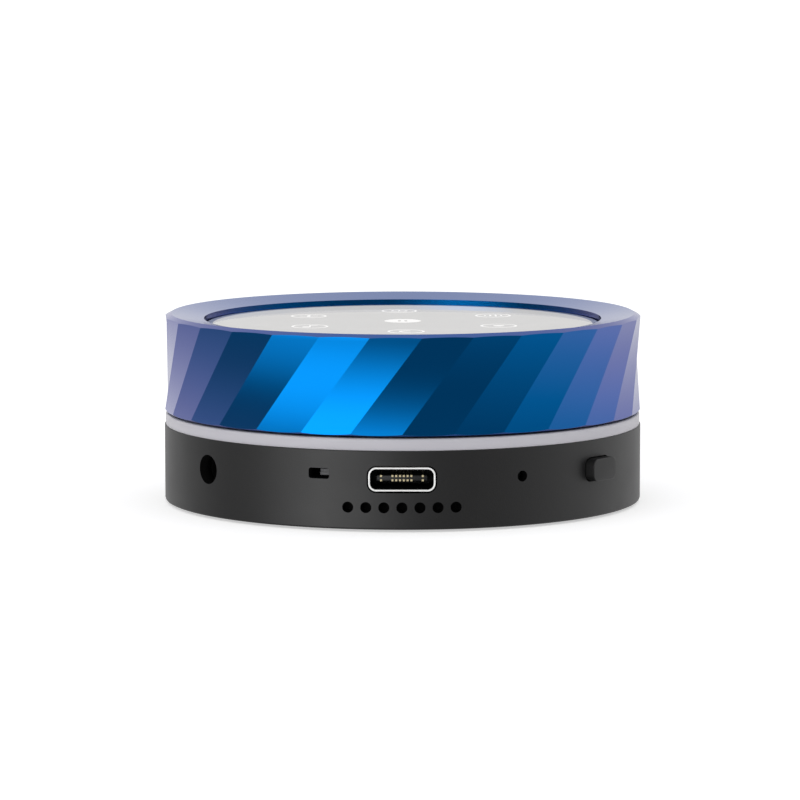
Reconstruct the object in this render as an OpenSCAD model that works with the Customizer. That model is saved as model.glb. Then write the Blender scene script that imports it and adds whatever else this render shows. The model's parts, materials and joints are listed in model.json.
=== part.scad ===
// Round wireless audio receiver: a faceted rotary knob with a fixed round touch
// display in it, a light ring, and a base with the sockets, switches and speaker.
// Millimetres, +Z up, origin at the middle of the face it stands on, sockets towards -Y.
// Azimuths are degrees from the front (-Y), positive towards +X.

/* [Body] */
// Outer radius of the base and of the knob's facet edges
body_r = 33; // [33:0.5:36]
// How far the rubber foot stands proud of the base
foot_proud = 0.3; // [0.2:0.1:0.6]
// Height of the base shell
shell_h = 10.5; // [10.5:0.5:13]
// Thickness of the base shell's wall
shell_wall = 1.8; // [1.6:0.1:2]
// Thickness of the bottom cover
cover_t = 1.2; // [1:0.1:1.4]
// Height of the light diffuser's visible band
diffuser_h = 1.6; // [1.4:0.1:2.4]
// Running gap between the diffuser and the knob
knob_gap = 0.3; // [0.2:0.05:0.5]

/* [Knob] */
// Height of the knob ring
knob_h = 13.4; // [13.4:0.2:15]
// Number of slanted facets round the knob
facets = 30; // [20:1:40]
// Angle that each facet edge turns through from bottom to top
facet_twist = 17.4; // [8:0.1:20]
// Azimuth of the first facet edge at the bottom
facet_phase = 11.8; // [0:0.1:12]
// Radius of the opening that shows the display
bore_r = 27.5; // [27.4:0.1:27.8]
// Fall of the dished top face from its crest to the opening
top_dish = 0.75; // [0.3:0.05:1.2]
// Radial width of the bevel outside the crest
bevel_w = 0.95; // [0.4:0.05:1.4]
// Fall of that bevel per millimetre outwards
bevel_slope = 0.5; // [0.3:0.05:1]
// Number of screws that hold the rotor hub in the ring
knob_screws_n = 6; // [3:1:8]

/* [Display] */
// Radius of the cover glass
glass_r = 27.3; // [27:0.1:27.3]
// Thickness of the cover glass
glass_t = 1.1; // [0.8:0.1:1.2]
// Depth of the glass below the opening's edge
glass_recess = 0.74; // [0.3:0.02:1]
// Radius of the display panel
panel_r = 26.3; // [25:0.1:26.4]
// Thickness of the optical adhesive
adhesive_t = 0.2; // [0.1:0.05:0.3]

/* [Bearing] */
// Bore radius of the thin-section ball bearing
race_bore_r = 22.5; // [22.5:0.1:22.6]
// Outer radius of the bearing
race_outer_r = 27.5; // [27.4:0.1:27.6]
// Width of the bearing
bearing_w = 6; // [5:0.5:6]
// Diameter of a ball
ball_d = 3; // [2.6:0.1:3]
// Number of balls
ball_n = 24; // [16:1:26]

/* [Encoder gears] */
// Gear module
gear_module = 0.5; // [0.5:0.01:0.51]
// Teeth of the internal gear in the rotor hub
ring_teeth = 104; // [104:4:104]
// Teeth of the encoder pinion
pinion_teeth = 12; // [12:4:12]
// Total backlash at the pitch line
backlash = 0.14; // [0.1:0.01:0.2]

/* [Sockets] */
// Width of the USB-C receptacle shell
usb_w = 8.94; // [8.9:0.01:9]
// Height of the USB-C receptacle shell
usb_h = 3.26; // [3.2:0.01:3.3]
// Azimuth of the audio jack
jack_az = -52.3; // [-56:0.1:-50]
// Radius of the audio jack's bore
jack_bore_r = 1.8; // [1.8:0.01:1.85]
// Radius of the window in front of the jack
jack_window_r = 1.98; // [1.9:0.01:2.2]
// Number of speaker holes
speaker_holes_n = 7; // [3:2:7]
// Distance between speaker holes
speaker_pitch = 2.38; // [2:0.01:2.4]
// Radius of a speaker hole
speaker_hole_r = 0.73; // [0.5:0.01:0.8]
// Azimuth of the microphone hole
mic_az = 28.9; // [26:0.1:31]
// Radius of the microphone hole
mic_hole_r = 0.73; // [0.4:0.01:0.8]

/* [Controls] */
// Azimuth of the slide switch
slider_az = -19.4; // [-22:0.1:-19]
// Width of the slide switch's slot
slot_w = 2.9; // [2.8:0.1:3.4]
// Height of the slide switch's slot
slot_h = 1.42; // [1.3:0.01:1.5]
// Azimuth of the power button
button_az = 52.8; // [50:0.1:56]
// Width of the power button's cap
button_w = 5.2; // [4.4:0.1:5.6]
// Height of the power button's cap
button_h = 3; // [2.8:0.1:3.2]
// How far the cap stands out of the shell
button_proud = 1.15; // [0.6:0.05:1.6]
// Travel of the power button
button_travel = 0.35; // [0.2:0.05:0.4]

/* [Lights and fasteners] */
// Number of lights under the diffuser
led_n = 16; // [8:4:16]
// Azimuth of the first light
led_phase = 5; // [4:0.5:6]
// Azimuth of the front screw posts, on both sides
post_front_az = 80; // [78:1:84]
// Azimuth of the rear screw posts, on both sides
post_rear_az = 150; // [148:1:152]

/* [Hidden] */
$fn = 64;

// Small working clearances
eps = 0.01;
cut = 1;
slack = 0.05;
edge_break = 0.25;

// Heights of the stack, from the floor up
shell_z = foot_proud;
shell_top = shell_z + shell_h;
cover_top = shell_z + cover_t;
diffuser_top = shell_top + diffuser_h;
knob_z = diffuser_top + knob_gap;
knob_top = knob_z + knob_h;
board_t = 1.2;
board_drop = 0.95;
board_z = shell_top - board_drop - board_t;
board_top = board_z + board_t;

// Radii of the base
shell_inner_r = body_r - shell_wall;
cover_rebate = 0.6;
board_margin = 0.8;
cover_r = shell_inner_r + cover_rebate;
cover_seat_r = cover_r + 2 * slack;
board_r = shell_inner_r - board_margin;
foot_r = 23;
foot_inner_r = 15;
foot_sink = 0.5;
foot_t = foot_proud + foot_sink;

// Screw posts and screws
post_angles = [-post_rear_az, -post_front_az, post_front_az, post_rear_az];
post_place_r = 25.5;
post_r = 2.3;
post_rib_t = 1.4;
post_rib_drop = 0.5;
screw_r = 0.8;
screw_hole_r = screw_r + slack;
screw_head_r = 1.6;
screw_head_t = 0.6;
screw_head_gap = 0.2;
driver_r = 0.75;
driver_depth = 0.4;
insert_r = 1.3;
insert_t = 3;
cover_screw_len = 4;
pedestal_screw_len = 4;
hole_step = 0.2;

// Knob ring
crest_r = body_r - bevel_w;
bore_edge_z = knob_top - top_dish;
hub_r = 30.4;
counterbore_r = hub_r + slack;
shoulder_depth = 3.7;
shoulder_z = knob_top - shoulder_depth;
facet_rows = 8;
knob_screw_place_r = (bore_r + hub_r) / 2;
knob_screw_head_r = 1.25;
knob_screw_head_t = 0.8;
knob_screw_bite = 2.2;

// Cover glass and display, down from the opening's edge
glass_top = bore_edge_z - glass_recess;
glass_z = glass_top - glass_t;
panel_top = glass_z - adhesive_t;
panel_t = 1.3;
panel_z = panel_top - panel_t;
carrier_r = 26.2;
carrier_t = 0.7;
carrier_boss_r = 23.9;
carrier_z = panel_z - carrier_t;
carrier_boss_t = 0.3;

// Ball bearing, clamped under the display carrier
bearing_top = carrier_z - carrier_boss_t;
bearing_z = bearing_top - bearing_w;
bearing_mid_z = bearing_z + bearing_w / 2;
ball_r = ball_d / 2;
ball_place_r = (race_bore_r + race_outer_r) / 2;
groove_r = ball_r + slack;
race_shoulder = 0.9;
cage_play = 0.12;
inner_race_r = ball_place_r - race_shoulder;
outer_race_r = ball_place_r + race_shoulder;
cage_half_t = 0.6;
cage_h = 3.8;
cage_pocket_r = ball_r + cage_play;
circlip_t = 0.6;
circlip_inner_r = 26.65;
circlip_r = 28;
circlip_gap = 24;

// Rotor hub and the gears under the bearing
hub_lift = 0.2;
hub_z = knob_z + hub_lift;
gear_h = 1.3;
gear_top = hub_z + gear_h;
hub_lip_r = 26.7;
ring_pitch_r = gear_module * ring_teeth / 2;
pinion_pitch_r = gear_module * pinion_teeth / 2;
gear_distance = ring_pitch_r - pinion_pitch_r;
pressure_angle = 20;
ring_addendum = 0.3;
ring_dedendum = 0.55;
pinion_addendum = 0.4;
pinion_dedendum = 0.5;
ring_tip_r = ring_pitch_r - ring_addendum;
ring_root_r = ring_pitch_r + ring_dedendum;
pinion_tip_r = pinion_pitch_r + pinion_addendum;
pinion_root_r = pinion_pitch_r - pinion_dedendum;
flank_steps = 3;
encoder_az = 180;
encoder_side = 7;
encoder_h = 2.6;
encoder_shaft_r = 1;
encoder_pocket_gap = 0.3;
pinion_pocket_gap = 0.5;

// Pedestal that carries the bearing and the display
tower_inner_r = 20.5;
tower_r = 22;
tower_seat_r = race_bore_r;
tower_shoulder_r = 23.4;
tower_shoulder_t = 0.6;
tower_flange_r = 24.5;
tower_flange_t = 1.15;
tower_top = bearing_top - slack;
lug_r = 1.9;
carrier_screw_angles = [-60, 60, 180];
carrier_screw_place_r = 18.9;
carrier_boss_h = 5;
carrier_screw_len = 3.6;
carrier_screw_grip = 3;

// Diffuser
diffuser_step = 0.15;
diffuser_r = body_r - diffuser_step;
diffuser_inner_r = 27.3;
flange_lift = 0.25;
flange_z = shell_top + flange_lift;
flange_t = 1;
locating_lip_h = 0.6;
locating_lip_t = 0.4;
led_place_r = 28.6;
led_side = 2;
led_t = 0.8;

// USB-C receptacle, hung under the board
usb_z = board_z - usb_h / 2;
usb_corner_r = 1.1;
usb_metal_t = 0.3;
usb_depth = 7.35;
usb_sink = 0.1;
usb_front_rho = body_r - usb_sink;
usb_window_gap = 0.17;
tongue_w = 6.69;
tongue_t = 0.7;
tongue_recess = 1.5;
tongue_root_t = 1;
contact_places = [-2.75, -1.25, -0.75, -0.25, 0.25, 0.75, 1.25, 2.75];
contact_w = 0.26;
contact_t = 0.06;
contact_wrap = 0.2;

// Audio jack, let into a notch of the board
jack_z = 6.7;
jack_side_w = 6.2;
jack_side_h = 5;
jack_nose_r = 2.4;
jack_nose_gap = 0.2;
jack_nose_len = 0.6;
jack_nose_rho = shell_inner_r - jack_nose_gap;
jack_body_rho = jack_nose_rho - jack_nose_len;
jack_back_rho = 17.4;
jack_bore_back_rho = 18;
jack_window_w = 1.5;
jack_window_h = 1;
jack_window_shift = 0.15;
notch_gap = 0.3;
spring_places = [21.5, 24.5, 27.5];
spring_t = 0.2;
spring_w = 1;
spring_gap = 0.4;
spring_place = jack_bore_r + spring_gap;

// Speaker, behind the holes
speaker_z = 3.27;
speaker_box_w = 19;
speaker_box_front = 29.3;
speaker_box_depth = 13.6;
speaker_box_h = 3.3;
speaker_box_wall = 0.6;
speaker_mouth = [16, 1.9];
speaker_floor_z = cover_top + slack + speaker_box_wall;
driver_w = 15;
driver_d = 11;
driver_t = 1.7;
driver_rim = 0.8;
driver_magnet_t = 0.9;
driver_shift = 0.3;
driver_y = speaker_box_depth / 2 - speaker_box_front + driver_shift;
cone_t = 0.3;
cone_corner_r = 1.5;
mesh_t = 0.2;
mesh_span = 34;
mesh_h = 2.4;

// Microphone
mic_z = 6.97;
mic_boot_r = 1.62;
mic_boot_gap = 0.15;
mic_boot_lip = 0.2;
mic_boot_len = 1.7;
mic_capsule_r = 1.4;
mic_capsule_len = 1.4;

// Slide switch
slider_z = 7.64;
slider_case_w = 6.7;
slider_case_h = 1.85;
slider_case_rho = [27.9, 30.6];
slider_knob_w = 1.42;
slider_knob_h = 1.1;
slider_case_wall = 0.8;
slider_play = 0.2;
slider_sink = 0.55;
slider_end_gap = 0.05;
slider_knob_front = body_r - slider_sink;
slider_travel = slot_w - slider_knob_w - 2 * slider_end_gap;
slider_rest = slider_travel / 2;
slot_corner_r = 0.35;

// Power button
button_z = 6.85;
button_corner_r = 1.2;
button_hole_gap = 0.15;
button_front_rho = body_r + button_proud;
button_flange_gap = 0.35;
button_flange_t = 0.7;
button_flange_rho = [shell_inner_r - button_flange_gap - button_flange_t, shell_inner_r - button_flange_gap];
button_flange_lap = 0.5;
plunger_r = 0.75;
plunger_back_rho = 28.9;
button_case_rho = [25.6, 29.5];
button_case_w = 6;
button_case_h = 2 * (board_z - button_z);
button_notch_rho = 29.6;
button_case_bore_rho = 28.4;

// Electronics
module_size = [18, 25.5, 0.8];
module_place_y = 3.4;
shield_size = [15.8, 17.6, 2.4];
shield_place_y = 0.2;
codec_size = [5, 5, 0.9];
codec_place = [-6, 4];
chip_sizes = [[4, 4, 0.9], [3, 3, 1.2], [3, 1.6, 0.8], [6, 5, 1.1]];
chip_places = [[7, 8], [12, 3], [3, 12], [-8, 13]];
ribbon_w = 12;
ribbon_t = 0.25;
ribbon_y = -17.9;
ribbon_bend_r = 1.4;
ribbon_entry_lift = 0.8;
ribbon_entry_z = board_top + ribbon_entry_lift;
ribbon_slot = [14, 2.4];
socket_size = [14, 3.6, 1.6];
socket_front_y = -16.4;

// Battery under the board
battery_size = [34, 26, 5];
battery_y = [-7, 19];
battery_tape_t = 0.2;
battery_tape_margin = 3;
battery_z = cover_top + battery_tape_t;
battery_corner_r = 1.2;
plug_size = [5, 3.6, 2.6];
plug_place = [13, -12.4];
lead_r = 0.4;
lead_spacing = 1.5;
lead_exit_z = battery_z + battery_size[2] / 2;

// Point at an azimuth and radius
function polar(az, rho) = [rho * sin(az), -rho * cos(az)];
function mix(a, b, s) = a + (b - a) * s;

// Turns its children so that their -Y side faces an azimuth
module at_azimuth(az) rotate([0, 0, az]) children();

// Extrudes a flat outline outwards along an azimuth, its Y axis upwards
module outwards(az, rho_from, rho_to, z)
    at_azimuth(az) translate([0, -rho_from, z]) rotate([90, 0, 0])
        linear_extrude(rho_to - rho_from) children();

module rounded_rect(w, h, r) {
    square([w - 2 * r, h], center = true);
    square([w, h - 2 * r], center = true);
    for (x = [-1, 1], y = [-1, 1])
        translate([x * (w / 2 - r), y * (h / 2 - r)]) circle(r);
}

module tube(inner, outer, z_from, z_to)
    rotate_extrude() translate([inner, z_from]) square([outer - inner, z_to - z_from]);

module block(size, z) translate([0, 0, z + size[2] / 2]) cube(size, center = true);

// Pan-head screw, head downwards at z, shank upwards
module screw(head_r, head_t, length, drive_sides = 6) difference() {
    union() {
        cylinder(r = head_r, h = head_t);
        translate([0, 0, head_t - eps]) cylinder(r = screw_r, h = length + eps);
    }
    translate([0, 0, -cut]) cylinder(r = driver_r, h = driver_depth + cut, $fn = drive_sides);
}

module screw_from_above(head_r, head_t, length) mirror([0, 0, 1]) screw(head_r, head_t, length);

// Involute gear outline, as polar steps round each tooth
function involute_turn(base_r, r) = let(roll = sqrt(max(0, pow(r / base_r, 2) - 1)))
    roll * 180 / PI - atan(roll);
function flank_angle(teeth, pitch_r, r, play) = let(base_r = pitch_r * cos(pressure_angle))
    90 / teeth - play / (2 * pitch_r) * 180 / PI / 2
    + involute_turn(base_r, pitch_r) - involute_turn(base_r, max(r, base_r));
function gear_points(teeth, root_r, tip_r, play) = let(pitch_r = gear_module * teeth / 2)
    [for (k = [0 : teeth - 1], side = [-1, 1], i = [0 : flank_steps])
        let(s = (side < 0 ? i : flank_steps - i) / flank_steps,
            r = mix(root_r, tip_r, s),
            a = 360 * k / teeth + side * flank_angle(teeth, pitch_r, r, play))
        [r * cos(a), r * sin(a)]];

// ---- Base ----

module screw_post(az) at_azimuth(az) {
    translate([0, -post_place_r, cover_top]) cylinder(r = post_r, h = board_z - cover_top);
    translate([-post_rib_t / 2, -shell_inner_r - post_rib_t / 4, cover_top])
        cube([post_rib_t, shell_inner_r - post_place_r, board_z - cover_top - post_rib_drop]);
}

module speaker_holes() for (i = [0 : speaker_holes_n - 1])
    translate([(i - (speaker_holes_n - 1) / 2) * speaker_pitch, 2 * shell_wall - shell_inner_r, speaker_z])
        rotate([90, 0, 0]) cylinder(r = speaker_hole_r, h = 4 * shell_wall);

module base_shell() color("#37383a") difference() {
    union() {
        rotate_extrude() polygon([[cover_seat_r, shell_z], [body_r - edge_break, shell_z],
            [body_r, shell_z + edge_break], [body_r, shell_top], [shell_inner_r, shell_top],
            [shell_inner_r, cover_top], [cover_seat_r, cover_top]]);
        for (az = post_angles) screw_post(az);
    }
    for (az = post_angles) translate([for (c = polar(az, post_place_r)) c]) {
        translate([0, 0, cover_top - cut]) cylinder(r = screw_hole_r, h = cover_screw_len - cover_t + cut);
        translate([0, 0, board_z - insert_t]) cylinder(r = insert_r, h = insert_t + cut);
    }
    outwards(0, shell_inner_r - cut, body_r + cut, usb_z)
        rounded_rect(usb_w + 2 * usb_window_gap, usb_h + 2 * usb_window_gap, usb_corner_r + usb_window_gap);
    outwards(jack_az, shell_inner_r - cut, body_r + cut, jack_z) circle(jack_window_r);
    outwards(mic_az, shell_inner_r - cut, body_r + cut, mic_z) circle(mic_hole_r);
    outwards(slider_az, shell_inner_r - cut, body_r + cut, slider_z)
        rounded_rect(slot_w, slot_h, slot_corner_r);
    outwards(button_az, shell_inner_r - cut, body_r + cut, button_z)
        rounded_rect(button_w + 2 * button_hole_gap, button_h + 2 * button_hole_gap,
            button_corner_r + button_hole_gap);
    speaker_holes();
}

module bottom_cover() color("#2c2d2f") difference() {
    translate([0, 0, shell_z]) cylinder(r = cover_r, h = cover_t);
    tube(foot_inner_r - slack, foot_r + slack, shell_z - cut, shell_z + foot_t - foot_proud);
    for (az = post_angles) translate([for (c = polar(az, post_place_r)) c]) {
        translate([0, 0, shell_z - cut]) cylinder(r = screw_head_r + screw_head_gap, h = screw_head_t + 2 * slack + cut);
        translate([0, 0, shell_z - cut]) cylinder(r = screw_hole_r, h = cover_t + 2 * cut);
    }
}

module foot_ring() color("#1c1c1d") tube(foot_inner_r, foot_r, 0, foot_t);

module bottom_screws() color("#b9bcc0") for (az = post_angles)
    translate([for (c = polar(az, post_place_r)) c])
        translate([0, 0, shell_z + 2 * slack]) screw(screw_head_r, screw_head_t, cover_screw_len - cover_t);

module threaded_inserts() color("#c9a24a") for (az = post_angles)
    translate([for (c = polar(az, post_place_r)) c]) difference() {
        translate([0, 0, board_z - insert_t]) cylinder(r = insert_r, h = insert_t);
        translate([0, 0, board_z - insert_t - cut]) cylinder(r = screw_hole_r, h = insert_t + 2 * cut);
    }

// ---- Boards and pedestal ----

module main_board() color("#123f2f") difference() {
    translate([0, 0, board_z]) cylinder(r = board_r, h = board_t);
    outwards(jack_az, jack_back_rho - notch_gap, board_r + cut, board_z + board_t / 2)
        square([jack_side_w + 2 * notch_gap, board_t + 2 * cut], center = true);
    outwards(button_az, button_notch_rho, board_r + cut, board_z + board_t / 2)
        square([button_w + 2 * button_flange_lap + 2 * notch_gap, board_t + 2 * cut], center = true);
    for (az = post_angles) translate([for (c = polar(az, post_place_r)) c])
        translate([0, 0, board_z - cut]) cylinder(r = screw_hole_r + slack, h = board_t + 2 * cut);
}

module encoder_place() translate([for (c = polar(encoder_az, gear_distance)) c]) children();

module pedestal() color("#26282b") difference() {
    union() {
        rotate_extrude() polygon([[tower_inner_r, board_top], [tower_flange_r, board_top],
            [tower_flange_r, board_top + tower_flange_t], [tower_r, board_top + tower_flange_t],
            [tower_r, bearing_z - tower_shoulder_t], [tower_shoulder_r, bearing_z - tower_shoulder_t],
            [tower_shoulder_r, bearing_z], [tower_seat_r, bearing_z], [tower_seat_r, tower_top],
            [tower_inner_r, tower_top]]);
        for (az = post_angles) translate([for (c = polar(az, post_place_r)) c])
            translate([0, 0, board_top]) cylinder(r = lug_r, h = tower_flange_t);
        for (az = carrier_screw_angles) translate([for (c = polar(az, carrier_screw_place_r)) c])
            translate([0, 0, tower_top - carrier_boss_h]) cylinder(r = lug_r, h = carrier_boss_h);
    }
    for (az = post_angles) translate([for (c = polar(az, post_place_r)) c])
        translate([0, 0, board_top - cut]) cylinder(r = screw_hole_r, h = tower_flange_t + 2 * cut);
    for (az = carrier_screw_angles) translate([for (c = polar(az, carrier_screw_place_r)) c])
        translate([0, 0, tower_top - carrier_screw_len]) cylinder(r = screw_hole_r, h = carrier_screw_len + cut);
    encoder_place() {
        block([encoder_side + 2 * encoder_pocket_gap, encoder_side + 2 * encoder_pocket_gap,
            encoder_h + encoder_pocket_gap + cut], board_top - cut);
        translate([0, 0, board_top])
            cylinder(r = pinion_tip_r + pinion_pocket_gap, h = gear_top + encoder_pocket_gap / 2 - board_top);
    }
}

module pedestal_screws() color("#b9bcc0") for (az = post_angles)
    translate([for (c = polar(az, post_place_r)) c])
        translate([0, 0, board_top + tower_flange_t + screw_head_t])
            screw_from_above(screw_head_r, screw_head_t, pedestal_screw_len);

module light_diffuser() color("#c9c8cf") rotate_extrude() polygon([
    [shell_inner_r - slack, shell_top], [diffuser_r, shell_top],
    [diffuser_r, diffuser_top - edge_break / 2], [diffuser_r - edge_break / 2, diffuser_top],
    [hub_r, diffuser_top], [hub_r, flange_z + flange_t], [diffuser_inner_r, flange_z + flange_t],
    [diffuser_inner_r, flange_z], [shell_inner_r - slack - locating_lip_t, flange_z],
    [shell_inner_r - slack - locating_lip_t, shell_top - locating_lip_h],
    [shell_inner_r - slack, shell_top - locating_lip_h]]);

module light_array() color("#f2f2ec") for (k = [0 : led_n - 1])
    at_azimuth(led_phase + 360 * k / led_n) translate([0, -led_place_r, 0])
        block([led_side, led_side, led_t], board_top);

// ---- Knob, rotor hub and bearing ----

// Prism whose facet edges are straight lines from the bottom circle to the turned top circle
module facet_prism() {
    points = [for (row = [0 : facet_rows], k = [0 : facets - 1])
        let(s = row / facet_rows, az = facet_phase + 360 * k / facets,
            low = polar(az, body_r), high = polar(az + facet_twist, body_r))
        [mix(low[0], high[0], s), mix(low[1], high[1], s), mix(knob_z - eps, knob_top + eps, s)]];
    sides = [for (row = [0 : facet_rows - 1], k = [0 : facets - 1])
        let(a = row * facets + k, b = row * facets + (k + 1) % facets)
        each [[a, a + facets, b + facets], [a, b + facets, b]]];
    ends = [[for (k = [0 : facets - 1]) k],
        [for (k = [0 : facets - 1]) (facet_rows + 1) * facets - 1 - k]];
    polyhedron(points = points, faces = concat(sides, ends), convexity = 4);
}

module knob_ring() color("#0a6fd6") difference() {
    intersection() {
        facet_prism();
        rotate_extrude() polygon([[counterbore_r, knob_z], [body_r - edge_break, knob_z],
            [body_r + cut, knob_z + edge_break + cut],
            [body_r + cut, knob_top - (bevel_w + cut) * bevel_slope], [crest_r, knob_top],
            [bore_r, bore_edge_z], [bore_r, shoulder_z], [counterbore_r, shoulder_z]]);
    }
    for (k = [0 : knob_screws_n - 1]) translate([for (c = polar(360 * k / knob_screws_n, knob_screw_place_r)) c])
        translate([0, 0, shoulder_z - cut]) cylinder(r = screw_hole_r, h = knob_screw_bite + hole_step + cut);
}

module rotor_hub() color("#e6e3da") difference() {
    rotate_extrude() polygon([[ring_tip_r, hub_z], [hub_r, hub_z], [hub_r, shoulder_z],
        [race_outer_r, shoulder_z], [race_outer_r, bearing_top + circlip_t + 2 * slack],
        [circlip_r + slack, bearing_top + circlip_t + 2 * slack], [circlip_r + slack, bearing_top],
        [race_outer_r, bearing_top], [race_outer_r, bearing_z], [hub_lip_r, bearing_z],
        [hub_lip_r, gear_top], [ring_tip_r, gear_top]]);
    translate([0, 0, hub_z - cut]) linear_extrude(gear_h + cut)
        polygon(gear_points(ring_teeth, ring_tip_r - ring_addendum, ring_root_r, -backlash));
    for (k = [0 : knob_screws_n - 1]) translate([for (c = polar(360 * k / knob_screws_n, knob_screw_place_r)) c]) {
        translate([0, 0, hub_z - cut]) cylinder(r = knob_screw_head_r + slack, h = knob_screw_head_t + 2 * slack + cut);
        translate([0, 0, hub_z - cut]) cylinder(r = screw_hole_r, h = shoulder_z - hub_z + 2 * cut);
    }
}

module knob_screws() color("#b9bcc0") for (k = [0 : knob_screws_n - 1])
    translate([for (c = polar(360 * k / knob_screws_n, knob_screw_place_r)) c])
        translate([0, 0, hub_z + 2 * slack]) screw(knob_screw_head_r, knob_screw_head_t,
            shoulder_z + knob_screw_bite - hub_z - 2 * slack - knob_screw_head_t);

module ball_groove() rotate_extrude() translate([ball_place_r, bearing_mid_z]) circle(groove_r);

module bearing_outer_race() color("#c4c7cb") difference() {
    tube(outer_race_r, race_outer_r, bearing_z, bearing_top);
    ball_groove();
}

module bearing_inner_race() color("#c4c7cb") difference() {
    tube(race_bore_r, inner_race_r, bearing_z, bearing_top);
    ball_groove();
}

module bearing_circlip() color("#8e9196") difference() {
    tube(circlip_inner_r, circlip_r, bearing_top + slack, bearing_top + slack + circlip_t);
    translate([0, 0, bearing_top - cut]) rotate([0, 0, -90 - circlip_gap / 2])
        rotate_extrude(angle = circlip_gap) square([body_r, circlip_t + 3 * cut]);
}

module bearing_balls() color("#d9dbdd") for (k = [0 : ball_n - 1])
    translate([for (c = polar(360 * k / ball_n, ball_place_r)) c])
        translate([0, 0, bearing_mid_z]) sphere(r = ball_r);

module bearing_cage() color("#c2a878") difference() {
    tube(ball_place_r - cage_half_t, ball_place_r + cage_half_t,
        bearing_mid_z - cage_h / 2, bearing_mid_z + cage_h / 2);
    for (k = [0 : ball_n - 1])
        outwards(360 * k / ball_n, ball_place_r - 2 * cage_half_t, ball_place_r + 2 * cage_half_t, bearing_mid_z)
            circle(cage_pocket_r);
}

module encoder_case() color("#2b2c2e") encoder_place() difference() {
    block([encoder_side, encoder_side, encoder_h], board_top);
    translate([0, 0, board_top + encoder_h / 2]) cylinder(r = encoder_shaft_r + slack, h = encoder_h);
}

module encoder_pinion() color("#efece2") encoder_place() {
    translate([0, 0, hub_z]) linear_extrude(gear_h)
        polygon(gear_points(pinion_teeth, pinion_root_r, pinion_tip_r, backlash));
    translate([0, 0, board_top + encoder_h / 2 + slack])
        cylinder(r = encoder_shaft_r, h = hub_z - board_top - encoder_h / 2);
}

// ---- Display ----

module display_carrier() color("#9a9da1") difference() {
    union() {
        translate([0, 0, carrier_z]) cylinder(r = carrier_r, h = carrier_t);
        translate([0, 0, bearing_top]) cylinder(r = carrier_boss_r, h = carrier_z - bearing_top + eps);
    }
    translate([0, ribbon_y, bearing_top - cut])
        linear_extrude(carrier_t + 3 * cut) rounded_rect(ribbon_slot[0], ribbon_slot[1], ribbon_slot[1] / 3);
    for (az = carrier_screw_angles) translate([for (c = polar(az, carrier_screw_place_r)) c]) {
        translate([0, 0, bearing_top - cut]) cylinder(r = screw_hole_r, h = carrier_t + 3 * cut);
        translate([0, 0, panel_z - screw_head_t]) cylinder(r = screw_head_r + slack, h = screw_head_t + cut);
    }
}

module carrier_screws() color("#b9bcc0") for (az = carrier_screw_angles)
    translate([for (c = polar(az, carrier_screw_place_r)) c])
        translate([0, 0, panel_z - slack]) screw_from_above(screw_head_r, screw_head_t - slack, carrier_screw_grip);

module display_panel() color("#e9e8e4") translate([0, 0, panel_z])
    cylinder(r = panel_r, h = panel_top - panel_z);

module optical_adhesive() color("#dfe6ea") translate([0, 0, panel_top])
    cylinder(r = panel_r, h = adhesive_t);

module cover_glass() color("#d9dad8") rotate_extrude() polygon([[0, glass_z], [glass_r, glass_z],
    [glass_r, glass_top - edge_break], [glass_r - edge_break, glass_top], [0, glass_top]]);

// Flat cable: straight down from the panel, round a quarter bend, into its socket
module display_ribbon() color("#c77b2a") {
    bend_y = ribbon_y + ribbon_bend_r;
    bend_z = ribbon_entry_z + ribbon_bend_r;
    translate([-ribbon_w / 2, 0, 0]) rotate([90, 0, 90]) linear_extrude(ribbon_w) {
        translate([ribbon_y - ribbon_t / 2, bend_z]) square([ribbon_t, panel_z - bend_z]);
        translate([bend_y, ribbon_entry_z - ribbon_t / 2])
            square([socket_front_y - bend_y, ribbon_t]);
        difference() {
            translate([bend_y, bend_z]) circle(ribbon_bend_r + ribbon_t / 2);
            translate([bend_y, bend_z]) circle(ribbon_bend_r - ribbon_t / 2);
            translate([bend_y, bend_z - 2 * ribbon_bend_r]) square(4 * ribbon_bend_r);
            translate([bend_y - 2 * ribbon_bend_r, bend_z]) square(4 * ribbon_bend_r);
        }
    }
}

module ribbon_socket() color("#d8d3c4")
    translate([0, socket_front_y + socket_size[1] / 2, 0]) block(socket_size, board_top);

// ---- Electronics ----

module wireless_module() color("#16181a")
    translate([0, module_place_y, 0]) block(module_size, board_top);

module module_shield() color("#b4b7ba")
    translate([0, shield_place_y, 0]) block(shield_size, board_top + module_size[2]);

module under_board(size, place) translate([place[0], place[1], 0]) block(size, board_z - size[2]);

module audio_codec() color("#1b1c1e") under_board(codec_size, codec_place);

module power_chips() color("#1b1c1e") for (k = [0 : len(chip_sizes) - 1])
    under_board(chip_sizes[k], chip_places[k]);

module usb_shell() color("#c8cacc") difference() {
    outwards(0, usb_front_rho - usb_depth, usb_front_rho, usb_z) rounded_rect(usb_w, usb_h, usb_corner_r);
    outwards(0, usb_front_rho - usb_depth + usb_metal_t, usb_front_rho + cut, usb_z)
        rounded_rect(usb_w - 2 * usb_metal_t, usb_h - 2 * usb_metal_t, usb_corner_r - usb_metal_t);
}

module usb_tongue() color("#17181a") {
    back_rho = usb_front_rho - usb_depth + usb_metal_t;
    outwards(0, back_rho, back_rho + tongue_root_t, usb_z)
        rounded_rect(usb_w - 2 * usb_metal_t - slack, usb_h - 2 * usb_metal_t - slack, usb_corner_r - usb_metal_t);
    outwards(0, back_rho + tongue_root_t - eps, usb_front_rho - tongue_recess, usb_z)
        square([tongue_w, tongue_t], center = true);
}

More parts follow.
